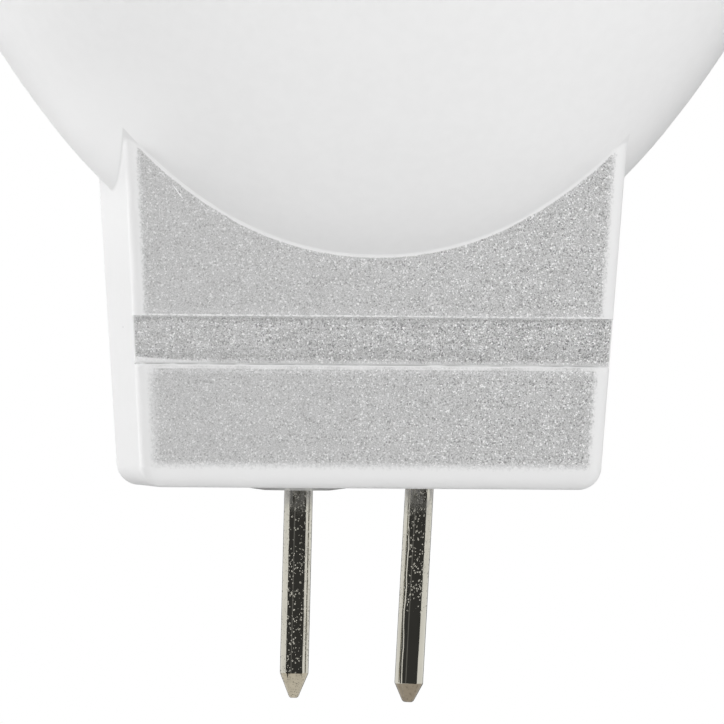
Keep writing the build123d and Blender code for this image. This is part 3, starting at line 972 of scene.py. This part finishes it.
@dataclass
class ContactPin:
    """One turned contact pin, from its worn tip to the end in the driver board."""

    name: str
    node: str
    finish: PinPlating
    axis_x: float
    length: float
    cone: float
    tip_radius: float
    lean_degrees: float
    shaft_x: float
    shaft_top: float
    radius: float = 0.475
    tail_side: float = 0.6
    tail_overlap: float = 0.02
    bar_top: float = -0.4
    collar_radius: float = 0.8
    floor: float = 1.8
    collar_height: float = 0.5
    inner_end: float = 5.2
    sides: int = 64

    def turn(self) -> bpy.types.Object:
        """Draw the pin out of a short round bar.

        Returns:
            The pin, upright.
        """
        Bench.clear()
        shoulder = -self.length + self.cone
        bpy.ops.mesh.primitive_cylinder_add(
            vertices=self.sides,
            radius=self.radius * MM,
            depth=(self.bar_top - shoulder) * MM,
            location=(self.shaft_x * MM, 0.0, (self.bar_top + shoulder) / 2 * MM),
        )
        pin = Bench.name(self.name)
        bpy.ops.object.transform_apply(location=True, rotation=True, scale=True)
        self.draw_end(pin, shoulder, -self.length, self.tip_radius)
        self.draw_end(pin, self.bar_top, self.shaft_top, self.radius)
        self.round_edges(pin, shoulder)
        return pin

    def add_tail(self, pin: bpy.types.Object) -> None:
        """Set the collar and the square tail behind the shaft, as one mesh with it.

        Args:
            pin: The pin's object.
        """
        Bench.clear()
        bpy.ops.mesh.primitive_cylinder_add(
            vertices=self.sides,
            radius=self.collar_radius * MM,
            depth=self.collar_height * MM,
            location=(self.axis_x * MM, 0.0, (self.floor + self.collar_height / 2) * MM),
        )
        collar = Bench.name(self.name + "_collar")
        foot = self.shaft_top - self.tail_overlap
        bpy.ops.mesh.primitive_cube_add(
            size=1.0,
            location=(self.axis_x * MM, 0.0, (foot + self.inner_end) / 2 * MM),
            scale=(self.tail_side * MM, self.tail_side * MM, (self.inner_end - foot) * MM),
        )
        tail = Bench.name(self.name + "_tail")
        Bench.clear()
        for part in (collar, tail, pin):
            part.select_set(True)
        bpy.context.view_layer.objects.active = pin
        bpy.ops.object.join()

    def draw_end(self, pin: bpy.types.Object, end: float, height: float, radius: float) -> None:
        """Extrude an end face to a new height and radius.

        Args:
            pin: The pin's object.
            end: Height of the end face that is drawn out.
            height: Height that it is drawn to.
            radius: Its radius there.
        """
        Bench.pick(pin, "FACE", lambda middle: abs(middle.z - end * MM) < TOUCH)
        bpy.ops.mesh.extrude_region_move(TRANSFORM_OT_translate={"value": (0.0, 0.0, (height - end) * MM)})
        factor = radius / self.radius
        if factor != 1.0:
            middle = (self.shaft_x * MM, 0.0, height * MM)
            bpy.ops.transform.resize(value=(factor, factor, 1.0), center_override=middle)
        bpy.ops.object.mode_set(mode="OBJECT")

    def round_edges(self, pin: bpy.types.Object, shoulder: float) -> None:
        """Break the edge of the tip and the edge between cone and shaft.

        Args:
            pin: The pin's object.
            shoulder: Height where the cone begins.
        """
        for height, width in ((-self.length, self.tip_radius * 0.45), (shoulder, 0.02)):
            Bench.pick(
                pin,
                "EDGE",
                lambda middle: abs(middle.z - height * MM) < TOUCH
                and math.hypot(middle.x - self.shaft_x * MM, middle.y) > self.tip_radius * 0.9 * MM,
            )
            bpy.ops.mesh.bevel(offset=width * MM, segments=3, affect="EDGES")
            bpy.ops.object.mode_set(mode="OBJECT")

    def lean(self, pin: bpy.types.Object) -> None:
        """Turn the free part a little about the place where it leaves the body.

        Args:
            pin: The pin's object.
        """
        Bench.pick(pin, "VERT", lambda corner: corner.z < 0.0)
        bpy.ops.transform.rotate(
            value=-math.radians(self.lean_degrees),
            orient_axis="Y",
            orient_type="GLOBAL",
            center_override=(self.shaft_x * MM, 0.0, 0.0),
        )
        bpy.ops.object.mode_set(mode="OBJECT")

    def make(self) -> None:
        """Turn, lean and dress the pin, and put it in the CAD pin's place."""
        pin = self.turn()
        self.lean(pin)
        self.add_tail(pin)
        Bench.settle(pin)
        pin.data.materials.clear()
        pin.data.materials.append(self.finish.build())
        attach(pin, "root")
        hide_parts(self.node)
        log.info("%s: %d faces", self.name, len(pin.data.polygons))


@dataclass
class Dressing:
    """Finishes for the CAD pieces that keep their shapes."""

    finishes: dict[str, Finish]

    def apply(self) -> None:
        """Give every named node its finish, each finish built once."""
        built: dict[str, bpy.types.Material] = {}
        for node, finish in self.finishes.items():
            if finish.name not in built:
                built[finish.name] = finish.build()
            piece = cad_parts[node]
            piece.data.materials.clear()
            piece.data.materials.append(built[finish.name])
            log.info("%s: dressed in %s", node, finish.name)


@dataclass
class Photographer:
    """The camera of the photograph: a long lens, level with the neck, a little to its left."""

    yaw_degrees: float = 6.07
    roll_degrees: float = 0.44
    distance: float = 450.0
    pixels_per_millimetre: float = 29.99
    aim_across: float = 0.17
    aim_up: float = 4.178

    def place(self) -> None:
        """Set the camera up."""
        yaw = math.radians(self.yaw_degrees)
        roll = math.radians(self.roll_degrees)
        back = Vector((-math.sin(yaw), -math.cos(yaw), 0.0))
        level = Vector((math.cos(yaw), -math.sin(yaw), 0.0))
        upright = Vector((0.0, 0.0, 1.0))
        right = level * math.cos(roll) + upright * math.sin(roll)
        up = upright * math.cos(roll) - level * math.sin(roll)
        aim = right * self.aim_across + up * self.aim_up
        stand = (aim + back * self.distance) * MM
        data = bpy.data.cameras.new("camera")
        data.sensor_width = 36.0
        data.lens = self.pixels_per_millimetre * self.distance / IMAGE_PIXELS * data.sensor_width
        data.clip_start = 0.05
        data.clip_end = 20.0
        camera = bpy.data.objects.new("camera", data)
        bpy.context.scene.collection.objects.link(camera)
        turn = Matrix((right, up, back)).transposed().to_4x4()
        camera.matrix_world = Matrix.Translation(stand) @ turn
        bpy.context.scene.camera = camera


@dataclass(frozen=True)
class Lamp:
    """One soft box: where it stands, how large it is and how strong."""

    name: str
    stand: tuple[float, float, float]
    side: float
    watts: float

    def hang(self) -> None:
        """Hang the soft box so that it faces the bulb."""
        data = bpy.data.lights.new(self.name, "AREA")
        data.shape = "SQUARE"
        data.size = self.side * MM
        data.energy = self.watts
        lamp = bpy.data.objects.new(self.name, data)
        bpy.context.scene.collection.objects.link(lamp)
        lamp.location = Vector(self.stand) * MM
        lamp.rotation_euler = (-lamp.location).to_track_quat("-Z", "Y").to_euler()
        lamp.visible_glossy = False


@dataclass
class Studio:
    """Pale floor, white surroundings, soft boxes and two dark cards for the metal to mirror."""

    floor_height: float = -25.0
    floor_radius: float = 350.0
    card_radius: float = 620.0
    card_height: float = 900.0
    card_light: float = 0.052
    # A brighter strip on each card, made only for the metal to mirror: a painted reflection line.
    bright_strip: tuple[float, float, float] = (0.30, 0.37, 0.05)
    bright_strip_gain: float = 3.6
    cards: tuple[tuple[str, float, float], ...] = (
        ("dark_card_front", -7.5, 72.0),
        ("dark_card_back", 172.5, 28.0),
    )
    ambient: float = 0.4
    lamps: tuple[Lamp, ...] = (
        Lamp("soft_box_left", (-500.0, 0.0, 0.0), 260.0, 0.12),
        Lamp("soft_box_right", (500.0, 0.0, 0.0), 260.0, 0.89),
        Lamp("soft_box_front", (0.0, -520.0, 60.0), 260.0, 1.41),
        Lamp("soft_box_back_left", (-400.0, 300.0, 60.0), 260.0, 1.29),
        Lamp("soft_box_high_left", (-360.0, 260.0, 260.0), 260.0, 0.72),
    )

    def set_up(self) -> None:
        """Build the whole studio."""
        self.light_world()
        self.lay_floor()
        for name, turn_degrees, reach_degrees in self.cards:
            self.stand_card(name, turn_degrees, reach_degrees)
        for lamp in self.lamps:
            lamp.hang()
        bpy.context.scene.view_settings.view_transform = "Standard"

    def light_world(self) -> None:
        """Make the surroundings white to look at and weaker as light."""
        world = bpy.data.worlds.new("white_room")
        bpy.context.scene.world = world
        world.use_nodes = True
        nodes, links = world.node_tree.nodes, world.node_tree.links
        nodes.clear()
        output = nodes.new("ShaderNodeOutputWorld")
        mix = nodes.new("ShaderNodeMixShader")
        for socket, strength in ((mix.inputs[1], self.ambient), (mix.inputs[2], 1.0)):
            light = nodes.new("ShaderNodeBackground")
            light.inputs["Color"].default_value = (1.0, 1.0, 1.0, 1.0)
            light.inputs["Strength"].default_value = strength
            links.new(light.outputs["Background"], socket)
        path = nodes.new("ShaderNodeLightPath")
        seen = path.outputs["Is Camera Ray"]
        for kind in ("Is Glossy Ray", "Is Transmission Ray"):
            either = nodes.new("ShaderNodeMath")
            either.operation = "MAXIMUM"
            links.new(seen, either.inputs[0])
            links.new(path.outputs[kind], either.inputs[1])
            seen = either.outputs["Value"]
        links.new(seen, mix.inputs["Fac"])
        links.new(mix.outputs["Shader"], output.inputs["Surface"])

    def lay_floor(self) -> None:
        """Lay a pale round floor whose rim fades into the white room."""
        Bench.clear()
        bpy.ops.mesh.primitive_circle_add(
            vertices=96,
            radius=self.floor_radius * MM,
            fill_type="NGON",
            location=(0.0, 0.0, self.floor_height * MM),
        )
        floor = Bench.name("floor")
        graph = Graph("floor_paper")
        graph.set("Base Color", graph.mix(graph.noise(60.0), grey(0.86), grey(0.88)))
        graph.set("Roughness", 0.9)
        fade = graph.rise(graph.distance(), self.floor_radius * 0.25, self.floor_radius * 0.95)
        path = graph.nodes.new("ShaderNodeLightPath")
        below = graph.nodes.new("ShaderNodeNewGeometry")
        shine = graph.nodes.new("ShaderNodeEmission")
        clear = graph.nodes.new("ShaderNodeBsdfTransparent")
        surface = graph.shader.outputs["BSDF"]
        for share, over in (
            (fade * path.outputs["Is Camera Ray"], shine.outputs["Emission"]),
            (below.outputs["Backfacing"], clear.outputs["BSDF"]),
        ):
            mix = graph.nodes.new("ShaderNodeMixShader")
            for socket, value in zip(mix.inputs, (share, surface, over)):
                graph.feed(socket, value)
            surface = mix.outputs["Shader"]
        graph.feed(graph.output.inputs["Surface"], surface)
        floor.data.materials.append(graph.material)
        floor.visible_glossy = False

    def stand_card(self, name: str, turn_degrees: float, reach_degrees: float) -> None:
        """Stand a curved dark card that only polished metal mirrors.

        Args:
            name: The card's name.
            turn_degrees: Where it stands round the bulb, 0 for the camera's side.
            reach_degrees: How far it reaches to each side of its middle.
        """
        Bench.clear()
        bpy.ops.mesh.primitive_cylinder_add(
            vertices=180,
            radius=self.card_radius * MM,
            depth=self.card_height * MM,
            end_fill_type="NOTHING",
            location=(0.0, 0.0, 0.0),
        )
        card = Bench.name(name)
        ahead = math.radians(turn_degrees)
        reach = math.cos(math.radians(reach_degrees))
        facing = Vector((math.sin(ahead), -math.cos(ahead), 0.0))
        Bench.pick(card, "FACE", lambda middle: middle.normalized().dot(facing) < reach)
        bpy.ops.mesh.delete(type="FACE")
        bpy.ops.object.mode_set(mode="OBJECT")
        graph = Graph(name + "_cloth")
        across = graph.x * -math.copysign(1.0, facing.dot(Vector((0.0, -1.0, 0.0))))
        # The brighter strip glows stronger so that the pins mirror it as a painted highlight line.
        bright_strip = graph.band(across, *self.bright_strip)
        glow = graph.blend(bright_strip, self.card_light, self.card_light * self.bright_strip_gain)
        shine = graph.nodes.new("ShaderNodeEmission")
        graph.feed(shine.inputs["Color"], graph.mix(graph.noise(40.0), grey(0.9), grey(1.0)))
        graph.feed(shine.inputs["Strength"], glow)
        graph.links.new(shine.outputs["Emission"], graph.output.inputs["Surface"])
        card.data.materials.append(graph.material)
        for ray in ("camera", "diffuse", "transmission", "shadow"):
            setattr(card, "visible_" + ray, False)
        Bench.clear()


SCREW_CIRCLE = 8.2
SCREW_PLACES = tuple(
    (SCREW_CIRCLE * math.cos(math.radians(angle)), SCREW_CIRCLE * math.sin(math.radians(angle)))
    for angle in (30, 150, 270)
)
TINNED_WIRE = Metal("wire_tinned", (0.74, 0.73, 0.70), 0.25)
SOLDER = Metal("solder_bright", (0.72, 0.73, 0.74), 0.22, stretch=(1, 1, 1), relief=0.01)
EMITTER = EmitterFinish()

FINISHES: dict[str, Finish] = {
    "housing": BodyPaint(
        specks=(
            Speck(3.53, -5.29, 8.23, 0.05, 0.035),
            Speck(-7.96, -1.05, 5.28, 0.09, 0.03, tone=0.4),
            Speck(7.78, -4.99, 4.01, 0.06, 0.03),
            Speck(-7.4, -4.5, 0.12, 0.08, 0.03, tone=0.35),
            Speck(-6.57, -5.40, 9.73, 0.36, 0.022, -53.0, 0.9),
        )
    ),
    "seal_bead": Moulding("sealant_white", (0.80, 0.80, 0.79), roughness=0.25, grain=0.4, coat=0.4),
    "front_lens": ClearMoulding(),
    "retaining_ring": Moulding("ring_white", (0.84, 0.84, 0.84), roughness=0.42, spread=0.02),
    "light_board": LightBoardMask(screw_places=SCREW_PLACES),
    "emitter_1": EMITTER,
    "emitter_2": EMITTER,
    "emitter_3": EMITTER,
    "board_screws": Metal("screw_steel", (0.70, 0.70, 0.69), 0.28),
    "thermal_pad": Moulding("pad_grey", (0.42, 0.44, 0.50), roughness=0.8, spread=0.12, grain=0.15),
    "heat_spreader": Metal("spreader_metal", (0.78, 0.78, 0.79), 0.35, stretch=(12, 1, 1)),
    "link_negative": TINNED_WIRE,
    "link_positive": TINNED_WIRE,
    "link_sleeves": Moulding("sleeve_woven", (0.86, 0.84, 0.78), roughness=0.7, grain=0.12, relief=0.02),
    "link_solder": SOLDER,
    "driver_board": DriverBoardMask(),
    "pin_solder": SOLDER,
    "bridge_rectifier": TippedBody("rectifier_black", (0.045, 0.045, 0.048), Axis.Z, 4.02, 7.98),
    "smoothing_capacitor": TippedBody("capacitor_black", (0.04, 0.04, 0.05), Axis.X, -5.0, 0.1),
    "inductor_core": Moulding("ferrite", (0.10, 0.10, 0.11), roughness=0.7, spread=0.15, relief=0.01),
    "inductor_winding": WoundCopper(),
    "driver_chip": TippedBody("chip_black", (0.05, 0.05, 0.053), Axis.Z, 6.42, 7.98),
    "sense_resistors": TippedBody("resistor_dark", (0.06, 0.06, 0.07), Axis.X, 3.75, 5.05, mirrored=True),
    "ceramic_capacitors": TippedBody("capacitor_tan", (0.55, 0.40, 0.24), Axis.Z, 5.85, 8.15),
    "schottky_diode": TippedBody("diode_black", (0.05, 0.05, 0.053), Axis.X, -1.1, 1.1),
}

PINS = (
    ContactPin(
        name="contact_pin_left",
        node="pin_left",
        finish=PinPlating("pin_nickel_left", -1.95, 0.97, -6.2, (0.47, 0.425, 0.33)),
        axis_x=-2.0,
        length=7.03,
        cone=0.83,
        tip_radius=0.14,
        lean_degrees=0.97,
        shaft_x=-1.95,
        shaft_top=-0.115,
    ),
    ContactPin(
        name="contact_pin_right",
        node="pin_right",
        finish=PinPlating("pin_nickel_right", 2.1, 2.73, -6.53, (0.28, 0.237, 0.178), -4.0, -43.0),
        axis_x=2.0,
        length=7.16,
        cone=0.63,
        tip_radius=0.17,
        lean_degrees=2.73,
        shaft_x=2.1,
        shaft_top=-0.01,
    ),
)


def main() -> None:
    """Dress the bulb, turn its pins, set up camera and studio, and note the sizes."""
    logging.basicConfig(level=logging.INFO, format="%(message)s")
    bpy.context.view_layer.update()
    Photographer().place()
    Dressing(FINISHES).apply()
    for pin in PINS:
        pin.make()
    Studio().set_up()


if __name__ == "__main__":
    main()
